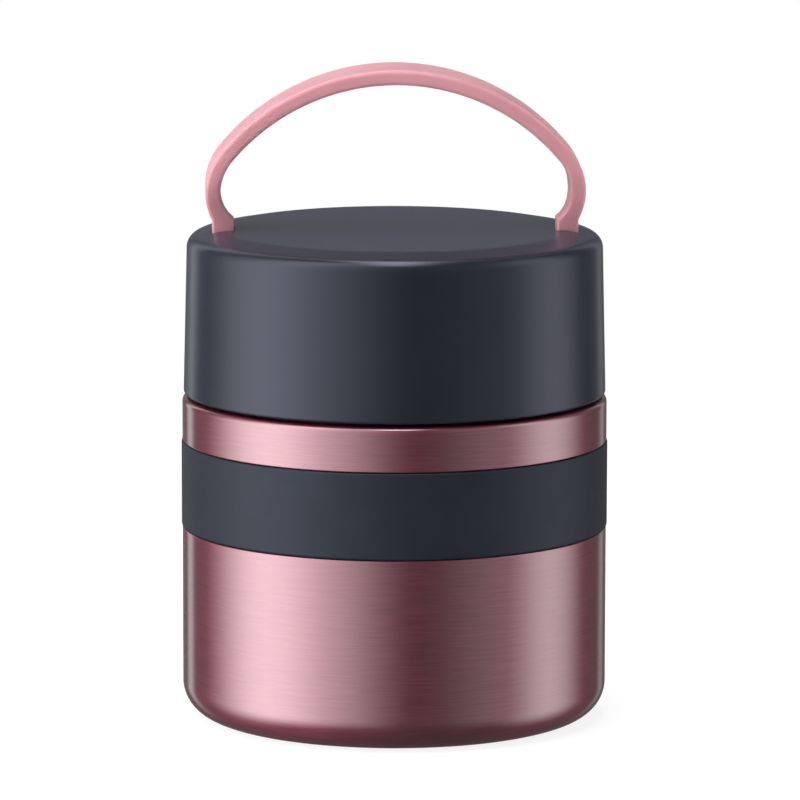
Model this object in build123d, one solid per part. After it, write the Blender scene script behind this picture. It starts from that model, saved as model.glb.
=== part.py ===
from build123d import *
import math
import os

# Insulated food jar: a double-walled steel jar with a silicone grip band, and a
# screw lid with a soft carrying strap.  Millimetres, +Z up, origin on the jar's
# axis at the level of the face it stands on.  Radii are measured from that axis.

# ---------------------------------------------------------------- jar, outside
body_r = 46.0              # outer radius of the steel shell
shoulder_z = 70.0          # height of the flat shoulder under the lid
shoulder_edge_r = 1.2      # rounding of the shoulder's outer edge
shell_wall = 0.6           # steel sheet of the outer shell and the base cup
seam_z = 12.0              # weld between the shell tube and the base cup
neck_weld_drop = 3.0       # shoulder to the weld between the tube and the neck ring
base_corner_r = 7.4        # rounding between the side and the base
rest_ring_width = 4.2      # flat ring that the jar stands on
base_recess = 3.0          # depth of the hollow inside the rest ring
base_ramp = 1.4            # width of the slope from the ring to the hollow
bend_r = 0.8               # inside bend of the pressed base

# ---------------------------------------------------------------- grip band
band_drop = 9.65           # shoulder to the silicone band's upper edge
band_height = 18.6
band_seat_depth = 1.3      # depth of the groove pressed into the shell
band_proud = 0.2           # how far the band stands out of the shell
band_end_gap = 0.1         # clearance between the band's edges and the groove
band_edge_r = 0.5

# ---------------------------------------------------------------- mouth and neck
shoulder_width = 9.5       # from the shell's side in to the neck
neck_height = 17.0         # shoulder to the rolled lip of the mouth
neck_root_r = 2.0          # rounding between the shoulder and the neck
lip_edge_r = 0.4           # rounding of the mouth's inner edge

# ---------------------------------------------------------------- inner liner
liner_wall = 0.5
neck_vacuum_gap = 1.0      # clear space between the two necks
side_vacuum_gap = 2.9      # clear space between shell and liner
floor_vacuum_gap = 2.9     # clear space between the base and the liner floor
liner_neck_drop = 0.8      # shoulder to the height where the liner starts to widen
liner_cone_height = 4.0    # height in which the liner reaches its full width
liner_weld_drop = 6.0      # cone to the weld between the liner's cup and its neck
liner_floor_r = 8.0        # rounding round the food space's floor
liner_bend_r = 2.5         # rounding under the mouth
liner_shoulder_r = 4.0
foil_thickness = 0.2
foil_floor_gap = 9.0       # liner floor to the foil's lower edge
foil_cone_gap = 7.0        # foil's upper edge to the liner's cone

# ---------------------------------------------------------------- base fittings
dimple_r = 7.0             # evacuation dimple in the middle of the base
dimple_depth = 1.4
dimple_ramp = 1.0
port_r = 1.0               # hole through which the air was drawn out
bead_r = 4.5               # glass bead that closes the hole
bead_height = 1.0
bead_round = 0.7
getter_r = 4.0
getter_height = 1.5
getter_chamfer = 0.3
getter_edge_gap = 13.0     # from the hollow's edge in to the getter's middle
cover_wall = 0.5
cover_clearance = 1.2      # free ring between the cover disc and the ramp
cover_rim_width = 13.0     # from the hollow's edge in to the lowered middle
cover_panel_drop = 0.6

# ---------------------------------------------------------------- screw thread
thread_lead = 12.0         # rise in one turn
thread_starts = 2
neck_ridge_height = 1.4
neck_ridge_base = 3.0
neck_ridge_crest = 1.2
neck_ridge_z = 3.2         # lowest ridge centre above the shoulder
neck_ridge_turn = 300.0    # degrees that one ridge runs round the neck
lid_ridge_height = 1.3
lid_ridge_base = 2.8
lid_ridge_crest = 1.0
lid_ridge_start = 60.0     # degrees after the neck ridge's start
lid_ridge_turn = 200.0
thread_radial_gap = 0.5    # from the neck ridge's crest to the skirt
thread_flank_gap = 0.3     # between the flanks when the lid is closed
ridge_root = 0.3           # how deep a ridge is rooted in its wall
neck_fade = 30.0           # degrees from the gap's middle to a faded neck ridge
lid_fade = 80.0            # the same for a lid ridge
neck_full = 72.0           # degrees from the gap's middle to the full height
lid_full = 125.0

# ---------------------------------------------------------------- lid
lid_gap = 0.76             # open joint between shoulder and lid
lid_height = 35.54
lid_step_width = 0.28      # how far the lid's lower edge stands inside the body
lid_draft_deg = 1.35       # lean of the lid's side
lid_wall = 2.2
lid_top_wall = 2.3
lid_fall_width = 8.42      # from the lower edge in to where the flat top starts
lid_fall_deg = 10.9        # slope of the fall
lid_knee_round = 8.0
lid_edge_round = 3.0
lid_inside_round = 1.5
lid_rim_round = 0.6
lid_ledge = 0.45           # step inside the cap that the inner cap presses on
gasket_height = 1.9
gasket_inner_gap = 0.4     # clearance between the gasket and the plug
gasket_outer_gap = 0.1     # from the lip's outer edge in to the gasket
gasket_edge_r = 0.4
plug_clearance = 1.9       # between the plug and the mouth
plug_depth = 8.0
plug_wall = 1.8
plug_edge_r = 1.5
keeper_height = 0.8        # ridge under the gasket that keeps it on the plug
keeper_slope = 0.24        # height of the ridge's slopes
keeper_reach = 0.8
ceiling_wall = 1.8
skirt_wall = 1.9
skirt_root_r = 0.475       # rounding between the skirt and the ceiling
skirt_top_r = 0.95
skirt_clearance = 1.2      # from the shoulder up to the skirt
flange_thickness = 1.5
foam_gap = 0.1

# ---------------------------------------------------------------- carrying strap
strap_thickness = 3.3
strap_half_width = 8.75    # half of the strap's width at the crown
strap_side_half_width = 8.2
crown_r = 49.0             # outer radius of the arch over the lid
side_r = 14.0              # outer radius of the turn at each side
side_centre_height = 8.53  # lid top to the centre of the side turns
side_turn_width = 10.2     # from the foot's middle in to the centre of its turn
foot_thickness = 4.7
foot_edge_gap = 8.57       # from the lid's lower edge in to the foot's middle
foot_half_width = 4.0
foot_flare_height = 2.2    # lid top to the end of the flare
flare_height = 3.8
flare_bulge = 0.304        # how far the flare's curve leaves the straight line
flare_lean = 0.1           # sideways lean of the width's curve above the flare
foot_depth = 8.6           # how far a foot reaches below the lid's top
strap_edge_r = 0.8
strap_edge_share = 0.3     # largest edge rounding as a share of the thickness
slot_gap = 0.2             # clearance round a foot in its slot
pin_r = 1.25
pin_gap = 0.03
pin_length = 17.0
pin_drop = 6.0             # lid top to the pin's axis
saddle_width = 6.4         # moulded block that the pin bears on
saddle_root = 0.77         # how deep the block is rooted in the lid's top

# ---------------------------------------------------------------- worked out
neck_r = body_r - shoulder_width
lip_z = shoulder_z + neck_height
neck_top_z = lip_z - liner_wall
liner_neck_r = neck_r - shell_wall - neck_vacuum_gap - liner_wall
liner_r = body_r - shell_wall - side_vacuum_gap - liner_wall
rest_ring_inner_r = body_r - base_corner_r - rest_ring_width
recess_r = rest_ring_inner_r - base_ramp
base_inside_z = base_recess + shell_wall
liner_floor_z = base_inside_z + floor_vacuum_gap + liner_wall
liner_neck_end_z = shoulder_z - liner_neck_drop
liner_shoulder_z = liner_neck_end_z - liner_cone_height
liner_weld_z = liner_shoulder_z - liner_weld_drop
neck_weld_z = shoulder_z - neck_weld_drop
foil_bottom_z = liner_floor_z + foil_floor_gap
foil_top_z = liner_shoulder_z - foil_cone_gap
getter_x = recess_r - getter_edge_gap
cover_panel_r = recess_r - cover_rim_width
band_top_z = shoulder_z - band_drop
band_bottom_z = band_top_z - band_height
seat_r = body_r - band_seat_depth
seat_bottom_z = band_bottom_z - band_end_gap
seat_top_z = band_top_z + band_end_gap
seat_edge_r = band_seat_depth / 4

lid_bottom_z = shoulder_z + lid_gap
lid_top_z = lid_bottom_z + lid_height
lid_bottom_r = body_r - lid_step_width
lid_knee_r = lid_bottom_r - lid_fall_width
plug_r = liner_neck_r - plug_clearance
ceiling_z = lip_z + gasket_height
ceiling_top_z = ceiling_z + ceiling_wall
skirt_inner_r = neck_r + neck_ridge_height + thread_radial_gap
skirt_outer_r = skirt_inner_r + skirt_wall
skirt_bottom_z = shoulder_z + skirt_clearance
flange_top_z = skirt_bottom_z + flange_thickness
lid_under_z = lid_top_z - lid_top_wall
pin_z = lid_top_z - pin_drop
foot_bottom_z = lid_top_z - foot_depth
flare_end_z = lid_top_z + foot_flare_height
flare_start_z = flare_end_z + flare_height
foot_x = lid_bottom_r - foot_edge_gap
side_centre_x = foot_x - side_turn_width
side_centre_z = lid_top_z + side_centre_height
# The crown arch touches both side turns from outside, which fixes its height.
crown_centre_z = side_centre_z - math.sqrt((crown_r - side_r) ** 2 - side_centre_x ** 2)
crown_top_z = crown_centre_z + crown_r


# ---------------------------------------------------------------- plane helpers
side_share = 0.98          # largest share of a side that its two roundings take
same_height = 0.01         # two heights this close count as the same


def unit(a, b):
    """Direction from point a to point b."""
    length = math.hypot(b[0] - a[0], b[1] - a[1])
    return ((b[0] - a[0]) / length, (b[1] - a[1]) / length)


def turn_at(before, corner, after):
    """Angle by which an outline turns at a corner; positive to the left."""
    inward = unit(before, corner)
    onward = unit(corner, after)
    cross = inward[0] * onward[1] - inward[1] * onward[0]
    dot = inward[0] * onward[0] + inward[1] * onward[1]
    return math.atan2(cross, dot)


def outline(corners):
    """Edges of a closed outline.

    A corner is (r, z) or (r, z, rounding).  Where two roundings don't fit on
    the side between them, both are made smaller.
    """
    count = len(corners)
    turns = [turn_at(corners[i - 1], corner, corners[(i + 1) % count]) for i, corner in enumerate(corners)]
    wishes = [corner[2] * math.tan(abs(turn) / 2) if len(corner) > 2 else 0.0
              for corner, turn in zip(corners, turns)]
    entries = []
    exits = []
    edges = []
    for i, corner in enumerate(corners):
        before = corners[i - 1]
        after = corners[(i + 1) % count]
        if wishes[i] < 1e-6:
            entries.append(corner[:2])
            exits.append(corner[:2])
            continue
        inward = unit(before, corner)
        onward = unit(corner, after)
        room_before = side_share * math.dist(before[:2], corner[:2]) / (wishes[i - 1] + wishes[i])
        room_after = side_share * math.dist(corner[:2], after[:2]) / (wishes[i] + wishes[(i + 1) % count])
        reach = wishes[i] * min(1.0, room_before, room_after)
        radius = reach / math.tan(abs(turns[i]) / 2)
        start = (corner[0] - inward[0] * reach, corner[1] - inward[1] * reach)
        end = (corner[0] + onward[0] * reach, corner[1] + onward[1] * reach)
        side = math.copysign(1.0, turns[i])
        centre = (start[0] - inward[1] * radius * side, start[1] + inward[0] * radius * side)
        to_corner = unit(centre, corner)
        middle = (centre[0] + to_corner[0] * radius, centre[1] + to_corner[1] * radius)
        edges.append(ThreePointArc(start, middle, end))
        entries.append(start)
        exits.append(end)
    for i in range(count):
        start = exits[i]
        end = entries[(i + 1) % count]
        if math.dist(start, end) > 1e-5:
            edges.append(Line(start, end))
    return edges


def turned(corners):
    """Solid of revolution about Z of a closed outline of (r, z) corners."""
    face = make_face(Wire.combine([e.edge() for e in outline(corners)])[0].edges())
    return revolve(Plane.XZ * face, Axis.Z)


def pressed(path, wall):
    """Corners of a sheet of even thickness that lies to the left of a path.

    The path gives one skin as (r, z, rounding) corners.  The other skin is
    parallel to it, and its roundings are larger or smaller by the wall.
    """
    other = []
    for i, corner in enumerate(path):
        first = unit(path[i - 1], corner) if i > 0 else unit(corner, path[i + 1])
        last = unit(corner, path[i + 1]) if i < len(path) - 1 else first
        n1 = (-first[1], first[0])
        n2 = (-last[1], last[0])
        scale = wall / (1 + n1[0] * n2[0] + n1[1] * n2[1])
        point = (corner[0] + (n1[0] + n2[0]) * scale, corner[1] + (n1[1] + n2[1]) * scale)
        cross = first[0] * last[1] - first[1] * last[0]
        rounding = corner[2] if len(corner) > 2 else 0.0
        if cross > 0:
            rounding = max(rounding - wall, 0.0)
        elif rounding > 0:
            rounding = rounding + wall
        other.append((point[0], point[1], rounding))
    return list(path) + other[::-1]


def upright_box(x, y, low_z, high_z, width_x, width_y):
    """Box centred on (x, y) that runs from low_z to high_z."""
    height = high_z - low_z
    return Pos(x, y, low_z + height / 2) * Box(width_x, width_y, height)


def pin_line(x, z, radius, length):
    """Round bar along Y, centred on the XZ plane."""
    return Pos(x, 0, z) * Rot(90, 0, 0) * Cylinder(radius, length)


# ---------------------------------------------------------------- screw thread
def ridge(root_r, height, base, crest, start_z, start_deg, turn_deg):
    """One helical ridge; a negative height makes it point to the axis."""
    grow = math.copysign(1.0, height)
    inner = root_r - grow * ridge_root
    # The flanks keep their slope down to the root inside the wall.
    slope = (base - crest) / 2 / abs(height)
    root_half = base / 2 + slope * ridge_root
    corners = [
        (inner, -root_half),
        (root_r + height, -crest / 2),
        (root_r + height, crest / 2),
        (inner, root_half),
    ]
    section = make_face(Polyline(*corners, close=True).edges())
    path = Helix(thread_lead, thread_lead * turn_deg / 360, root_r)
    bar = sweep(Plane.XZ * section, path=path, is_frenet=True)
    return Pos(0, 0, start_z) * Rot(0, 0, start_deg) * bar


def eccentric_cylinder(near_deg, near_r, far_deg, far_r, gap_deg):
    """Cylinder off the axis whose wall is near_r and far_r from the axis.

    The two radii hold at near_deg and far_deg from the direction gap_deg.
    """
    near = math.cos(math.radians(near_deg))
    far = math.cos(math.radians(far_deg))
    shift = (near_r - far_r) / (near - far)
    radius = near_r - shift * near
    angle = math.radians(gap_deg)
    centre = (shift * math.cos(angle), shift * math.sin(angle))
    return Pos(centre[0], centre[1], shoulder_z + neck_height / 2) * Cylinder(radius, 3 * neck_height)


def neck_ridge(start_deg):
    """Outside ridge of the neck, which fades out at both ends."""
    bar = ridge(neck_r, neck_ridge_height, neck_ridge_base, neck_ridge_crest,
                shoulder_z + neck_ridge_z, start_deg, neck_ridge_turn)
    gap_deg = start_deg - (360 - neck_ridge_turn) / 2
    crest_r = neck_r + neck_ridge_height
    return bar & eccentric_cylinder(neck_fade, neck_r, neck_full, crest_r, gap_deg)


def lid_ridge(start_deg):
    """Inside ridge of the lid's skirt, just under the neck's ridge."""
    drop = (neck_ridge_base - (neck_ridge_base - neck_ridge_crest)
            * (skirt_inner_r - lid_ridge_height - neck_r) / neck_ridge_height) / 2
    drop += lid_ridge_crest / 2 + thread_flank_gap
    start = start_deg + lid_ridge_start
    start_z = shoulder_z + neck_ridge_z - drop + thread_lead * lid_ridge_start / 360
    bar = ridge(skirt_inner_r, -lid_ridge_height, lid_ridge_base, lid_ridge_crest,
                start_z, start, lid_ridge_turn)
    gap_deg = start - (360 - lid_ridge_turn) / 2
    crest_r = skirt_inner_r - lid_ridge_height
    return bar - eccentric_cylinder(lid_fade, skirt_inner_r, lid_full, crest_r, gap_deg)


# ---------------------------------------------------------------- jar pieces
def shell_tube():
    """Brushed steel tube with the groove for the band."""
    return turned(pressed([
        (body_r, seam_z),
        (body_r, seat_bottom_z, seat_edge_r),
        (seat_r, seat_bottom_z, seat_edge_r),
        (seat_r, seat_top_z, seat_edge_r),
        (body_r, seat_top_z, seat_edge_r),
        (body_r, neck_weld_z),
    ], shell_wall))


def shell_neck():
    """Drawn ring with the shoulder and the threaded neck, welded on the tube."""
    ring = turned(pressed([
        (body_r, neck_weld_z),
        (body_r, shoulder_z, shoulder_edge_r),
        (neck_r, shoulder_z, neck_root_r),
        (neck_r, neck_top_z),
    ], shell_wall))
    for start in range(thread_starts):
        ring += neck_ridge(360 * start / thread_starts)
    return ring


def base_cup():
    """Pressed steel bottom, welded to the tube along its upper edge."""
    floor_z = base_recess
    return turned(pressed([
        (port_r, floor_z + dimple_depth),
        (dimple_r - dimple_ramp, floor_z + dimple_depth, bend_r),
        (dimple_r, floor_z, bend_r),
        (recess_r, floor_z, bend_r),
        (rest_ring_inner_r, 0, bend_r),
        (body_r, 0, base_corner_r),
        (body_r, seam_z),
    ], shell_wall))


def base_cover():
    """Thin disc that hides the evacuation dimple."""
    low = base_recess - cover_wall
    ramp = cover_panel_drop + cover_wall
    return turned(pressed([
        (0, low - cover_panel_drop),
        (cover_panel_r - ramp, low - cover_panel_drop, bend_r),
        (cover_panel_r, low, bend_r),
        (recess_r - cover_clearance, low),
    ], cover_wall))


def vacuum_seal():
    """Glass bead melted over the evacuation hole."""
    top = base_recess + dimple_depth
    return turned([
        (0, top - bead_height),
        (bead_r, top - bead_height, bead_round),
        (bead_r, top),
        (port_r, top),
        (port_r, top + shell_wall),
        (0, top + shell_wall),
    ])


def getter():
    """Pill that binds the last gas, spot welded inside the base."""
    pill = Cylinder(getter_r, getter_height)
    pill = chamfer(pill.edges().filter_by(GeomType.CIRCLE).group_by(Axis.Z)[-1], getter_chamfer)
    return Pos(getter_x, 0, base_inside_z + getter_height / 2) * pill


def liner_cup():
    """Deep-drawn steel cup that holds the food."""
    return turned(pressed([
        (0, liner_floor_z - liner_wall),
        (liner_r + liner_wall, liner_floor_z - liner_wall, liner_floor_r + liner_wall),
        (liner_r + liner_wall, liner_weld_z),
    ], liner_wall))


def liner_neck():
    """Cone and neck of the food container, rolled over the shell's neck at the lip."""
    return turned(pressed([
        (liner_r + liner_wall, liner_weld_z),
        (liner_r + liner_wall, liner_shoulder_z, liner_shoulder_r + liner_wall),
        (liner_neck_r + liner_wall, liner_neck_end_z, liner_bend_r),
        (liner_neck_r + liner_wall, neck_top_z, lip_edge_r),
        (neck_r, neck_top_z),
    ], liner_wall))


def radiation_foil():
    """Copper foil wrapped round the liner inside the vacuum."""
    inside = liner_r + liner_wall
    return turned([
        (inside, foil_bottom_z),
        (inside + foil_thickness, foil_bottom_z),
        (inside + foil_thickness, foil_top_z),
        (inside, foil_top_z),
    ])


def grip_band():
    """Silicone band stretched into the shell's groove."""
    outside = body_r + band_proud
    return turned([
        (seat_r, band_bottom_z, 2 * seat_edge_r),
        (outside, band_bottom_z, band_edge_r),
        (outside, band_top_z, band_edge_r),
        (seat_r, band_top_z, 2 * seat_edge_r),
    ])


# ---------------------------------------------------------------- lid pieces
def mouth_gasket():
    """Silicone ring pressed between the mouth's lip and the lid."""
    inside = plug_r + gasket_inner_gap
    outside = neck_r - gasket_outer_gap
    return turned([
        (inside, lip_z, gasket_edge_r),
        (outside, lip_z, gasket_edge_r),
        (outside, ceiling_z),
        (inside, ceiling_z),
    ])


def lid_side_r(z):
    """Outer radius of the lid's leaning side at height z."""
    return lid_bottom_r - (z - lid_bottom_z) * math.tan(math.radians(lid_draft_deg))


def lid_cap():
    """Outer lid moulding with the strap's two slots and the pins' saddles."""
    lean = math.tan(math.radians(lid_draft_deg))
    fall = math.tan(math.radians(lid_fall_deg))
    # Corner where the falling top meets the leaning side.
    edge_r = (lid_bottom_r - lean * (lid_height + lid_knee_r * fall)) / (1 - lean * fall)
    edge_z = lid_top_z - (edge_r - lid_knee_r) * fall
    inner_edge_r = edge_r - lid_wall
    inner_edge_z = edge_z - lid_top_wall
    cap = turned([
        (0, lid_top_z),
        (lid_knee_r, lid_top_z, lid_knee_round),
        (edge_r, edge_z, lid_edge_round),
        (lid_bottom_r, lid_bottom_z, lid_rim_round),
        (lid_bottom_r - lid_wall, lid_bottom_z, lid_rim_round),
        (lid_side_r(flange_top_z) - lid_wall, flange_top_z),
        (lid_side_r(flange_top_z) - lid_wall - lid_ledge, flange_top_z),
        (inner_edge_r - lid_ledge, inner_edge_z, lid_inside_round),
        (lid_knee_r - lid_wall, lid_under_z, lid_edge_round),
        (0, lid_under_z),
    ])
    slot_x = foot_thickness + 2 * slot_gap
    slot_y = 2 * (foot_half_width + slot_gap)
    saddle_y = pin_length - slot_y
    for side in (-1, 1):
        x = side * foot_x
        for end in (-1, 1):
            y = end * (slot_y + saddle_y / 2) / 2
            cap += upright_box(x, y, pin_z, lid_under_z + saddle_root, saddle_width, saddle_y / 2)
        cap -= upright_box(x, 0, foot_bottom_z, lid_top_z + lid_top_wall, slot_x, slot_y)
        cap -= pin_line(x, pin_z, pin_r + pin_gap, pin_length + pin_gap)
    return cap


def lid_inner_cap():
    """Threaded inner moulding with the plug and the closing flange."""
    keeper_top = lip_z - gasket_edge_r
    flange_r = lid_side_r(skirt_bottom_z) - lid_wall
    cap = turned([
        (0, ceiling_z - plug_depth),
        (plug_r, ceiling_z - plug_depth, plug_edge_r),
        (plug_r, keeper_top - keeper_height),
        (plug_r + keeper_reach, keeper_top - keeper_height + keeper_slope),
        (plug_r + keeper_reach, keeper_top - keeper_slope),
        (plug_r, keeper_top),
        (plug_r, ceiling_z),
        (skirt_inner_r, ceiling_z, skirt_root_r),
        (skirt_inner_r, skirt_bottom_z),
        (flange_r, skirt_bottom_z),
        (lid_side_r(flange_top_z) - lid_wall, flange_top_z),
        (skirt_outer_r, flange_top_z),
        (skirt_outer_r, ceiling_top_z, skirt_top_r),
        (plug_r - plug_wall, ceiling_top_z),
        (plug_r - plug_wall, ceiling_z - plug_depth + plug_wall),
        (0, ceiling_z - plug_depth + plug_wall),
    ])
    for start in range(thread_starts):
        cap += lid_ridge(360 * start / thread_starts)
    return cap


def lid_insulation():
    """Foam plug that fills the lid, with a pocket for each foot and pin."""
    outside = lid_side_r(lid_under_z) - lid_wall - lid_ledge - foam_gap
    shoulder = lid_under_z - foam_gap
    foam = turned([
        (0, ceiling_z - plug_depth + plug_wall),
        (plug_r - plug_wall - foam_gap, ceiling_z - plug_depth + plug_wall),
        (plug_r - plug_wall - foam_gap, ceiling_top_z),
        (outside, ceiling_top_z),
        (outside, shoulder - lid_top_wall),
        (lid_knee_r - lid_wall - lid_edge_round, shoulder),
        (0, shoulder),
    ])
    for side in (-1, 1):
        x = side * foot_x
        foam -= upright_box(x, 0, foot_bottom_z - foam_gap, lid_top_z,
                            foot_thickness + 2 * slot_gap, 2 * (foot_half_width + slot_gap))
        foam -= upright_box(x, 0, pin_z - pin_r - foam_gap, lid_top_z,
                            saddle_width + 2 * foam_gap, pin_length + 2 * foam_gap)
    return foam


def strap_side_view():
    """Face of the strap in the XZ plane: arch, two side turns and two feet."""
    inner_side_r = side_r - strap_thickness
    foot_out = foot_x + foot_thickness / 2
    foot_in = foot_x - foot_thickness / 2
    touch = math.atan2(side_centre_z - crown_centre_z, side_centre_x)

    def on_side(radius, angle):
        return (side_centre_x + radius * math.cos(angle), side_centre_z + radius * math.sin(angle))

    def on_crown(radius, angle):
        return (radius * math.cos(angle), crown_centre_z + radius * math.sin(angle))

    outer_end = -math.acos((foot_out - side_centre_x) / side_r)
    inner_end = -math.asin((side_centre_z - flare_start_z) / inner_side_r)
    flare_top = on_side(inner_side_r, inner_end)
    flare_foot = (foot_in, flare_end_z)
    flare_middle = ((flare_top[0] + flare_foot[0]) / 2 + flare_bulge,
                    (flare_top[1] + flare_foot[1]) / 2 - flare_bulge)
    inner_crown_r = crown_r - strap_thickness
    half = [
        ThreePointArc(on_crown(crown_r, math.pi / 2), on_crown(crown_r, (math.pi / 2 + touch) / 2),
                      on_crown(crown_r, touch)),
        ThreePointArc(on_side(side_r, touch), on_side(side_r, (touch + outer_end) / 2),
                      on_side(side_r, outer_end)),
        Line(on_side(side_r, outer_end), (foot_out, foot_bottom_z)),
        Line((foot_out, foot_bottom_z), (foot_in, foot_bottom_z)),
        Line((foot_in, foot_bottom_z), flare_foot),
        ThreePointArc(flare_foot, flare_middle, flare_top),
        ThreePointArc(flare_top, on_side(inner_side_r, (touch + inner_end) / 2), on_side(inner_side_r, touch)),
        ThreePointArc(on_crown(inner_crown_r, touch), on_crown(inner_crown_r, (math.pi / 2 + touch) / 2),
                      on_crown(inner_crown_r, math.pi / 2)),
        Line(on_crown(inner_crown_r, math.pi / 2), on_crown(crown_r, math.pi / 2)),
    ]
    right = make_face([e.edge() for e in half])
    return Plane.XZ * (right + mirror(right, Plane.YZ))


def strap_end_view():
    """Face of the strap in the YZ plane: wide arch, narrow feet."""
    rise = crown_top_z + strap_thickness
    middle_z = (flare_start_z + flare_end_z) / 2
    middle = (strap_side_half_width + foot_half_width) / 2
    right = Spline(
        (foot_half_width, lid_top_z),
        (middle, middle_z),
        (strap_side_half_width, flare_start_z + flare_height / 2),
        tangents=[(0, 1), (flare_lean, 1)],
    )
    end = right @ 1
    left = mirror(right, Plane.YZ)
    edges = [
        right.edge(),
        Line(end, (strap_half_width, rise)),
        Line((strap_half_width, rise), (-strap_half_width, rise)),
        Line((-strap_half_width, rise), (-end.X, end.Y)),
        left.edge(),
        Line((-foot_half_width, lid_top_z), (-foot_half_width, foot_bottom_z)),
        Line((-foot_half_width, foot_bottom_z), (foot_half_width, foot_bottom_z)),
        Line((foot_half_width, foot_bottom_z), (foot_half_width, lid_top_z)),
    ]
    return Plane.YZ * make_face([e.edge() for e in edges])


def handle_strap():
    """Soft carrying strap whose feet go through the lid's slots."""
    reach = side_centre_x + 2 * side_r
    strap = extrude(strap_side_view(), strap_half_width * 2, both=True)
    strap &= extrude(strap_end_view(), reach, both=True)
    long_edges = [
        edge for edge in strap.edges()
        if edge.geom_type != GeomType.LINE
        and edge.bounding_box().min.Z > flare_start_z - same_height
        and abs(edge.center().Y) > foot_half_width
    ]
    strap = fillet(long_edges, min(strap_edge_r, strap_edge_share * strap_thickness))
    for side in (-1, 1):
        strap -= pin_line(side * foot_x, pin_z, pin_r, 4 * foot_half_width)
    return strap


def strap_pin(side):
    """Steel pin through one foot, held against the saddles."""
    return pin_line(side * foot_x, pin_z, pin_r, pin_length)


pieces = {
    "shell_tube": shell_tube(),
    "shell_neck": shell_neck(),
    "base_cup": base_cup(),
    "base_cover": base_cover(),
    "vacuum_seal": vacuum_seal(),
    "getter": getter(),
    "liner_cup": liner_cup(),
    "liner_neck": liner_neck(),
    "radiation_foil": radiation_foil(),
    "grip_band": grip_band(),
    "mouth_gasket": mouth_gasket(),
    "lid_cap": lid_cap(),
    "lid_inner_cap": lid_inner_cap(),
    "lid_insulation": lid_insulation(),
    "handle_strap": handle_strap(),
    "strap_pin_left": strap_pin(-1),
    "strap_pin_right": strap_pin(1),
}

os.makedirs("parts", exist_ok=True)
for name, piece in pieces.items():
    export_step(piece, f"parts/{name}.step")
    print(name, "volume", round(piece.volume, 1), "solids", len(piece.solids()))
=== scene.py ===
import logging
import math
from dataclasses import dataclass
from enum import Enum

import bmesh
import bpy
from mathutils import Euler, Matrix, Vector


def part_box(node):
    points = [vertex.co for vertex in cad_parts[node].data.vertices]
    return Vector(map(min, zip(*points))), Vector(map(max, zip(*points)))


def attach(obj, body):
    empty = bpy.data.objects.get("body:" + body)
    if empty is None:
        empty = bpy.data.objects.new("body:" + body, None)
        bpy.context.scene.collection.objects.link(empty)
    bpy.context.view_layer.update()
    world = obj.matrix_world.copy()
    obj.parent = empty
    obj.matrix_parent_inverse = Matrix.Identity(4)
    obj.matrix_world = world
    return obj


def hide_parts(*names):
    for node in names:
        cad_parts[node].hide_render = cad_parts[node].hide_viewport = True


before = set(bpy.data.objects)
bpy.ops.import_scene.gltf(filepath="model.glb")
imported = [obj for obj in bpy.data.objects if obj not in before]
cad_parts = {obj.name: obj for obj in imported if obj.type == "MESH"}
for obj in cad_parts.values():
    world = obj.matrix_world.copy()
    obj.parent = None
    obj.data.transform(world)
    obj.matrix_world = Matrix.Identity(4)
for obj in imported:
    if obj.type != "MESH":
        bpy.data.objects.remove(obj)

LOG = logging.getLogger("food_jar")

MM = 0.001
NEAR = 1e-6             # mm; closer points are one point
WELD = 1e-7             # m; closer vertices are welded
SHARP_DEG = 40.0        # edges that turn more than this stay sharp
WHITE = (1.0, 1.0, 1.0, 1.0)

# Sizes that several pieces share, in mm.
SHOULDER_Z = 70.0
LIP_Z = 87.0
NECK_R = 36.5
LINER_WALL = 0.5
FOOT_X = 37.15          # middle of the strap's feet
PIN_DROP = 6.0          # the feet's pins, under the lid's top
PIN_LENGTH = 17.0
PIN_SIDES = 40

Tree = bpy.types.NodeTree
Node = bpy.types.Node
Socket = bpy.types.NodeSocket
Material = bpy.types.Material
Piece = bpy.types.Object
Work = bmesh.types.BMesh
Corner = tuple[float, ...]
Point = tuple[float, float]


class Body(Enum):
    """The rigid bodies of the frame."""

    JAR = "jar"
    SEAL = "lid_seal"
    LID = "lid"


# ------------------------------------------------------------------ node trees
def put(tree: Tree, node: Node, values: dict) -> None:
    """Gives inputs of a node, by name or index, an output socket or a constant each."""
    for name, value in values.items():
        socket = node.inputs[name]
        if isinstance(value, Socket):
            tree.links.new(value, socket)
        else:
            socket.default_value = value


def add(tree: Tree, kind: str, values: dict | None = None, **settings) -> Node:
    """Adds one node to a tree.

    Args:
        tree: the shader or geometry tree that gets the node.
        kind: Blender's type name of the node.
        values: what put gives to its inputs.
        **settings: attributes of the node itself.

    Returns:
        The new node.
    """
    item = tree.nodes.new(kind)
    for name, value in settings.items():
        setattr(item, name, value)
    put(tree, item, values or {})
    return item


def calc(tree: Tree, operation: str, *values: Socket | float) -> Socket:
    """Adds one step of arithmetic and returns its result."""
    return add(tree, "ShaderNodeMath", dict(enumerate(values)), operation=operation).outputs[0]


def vector(tree: Tree, x: Socket | float = 0.0, y: Socket | float = 0.0, z: Socket | float = 0.0) -> Socket:
    """Adds a node that joins three values to a vector."""
    return add(tree, "ShaderNodeCombineXYZ", {"X": x, "Y": y, "Z": z}).outputs[0]


def eased(tree: Tree, value: Socket, start: Socket | float, end: Socket | float,
          low: float = 0.0, high: float = 1.0) -> Socket:
    """Adds a smooth ramp that maps start to end onto low to high."""
    ramp = add(tree, "ShaderNodeMapRange", {"Value": value, "From Min": start, "From Max": end,
                                            "To Min": low, "To Max": high}, interpolation_type="SMOOTHSTEP")
    return ramp.outputs["Result"]


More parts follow.
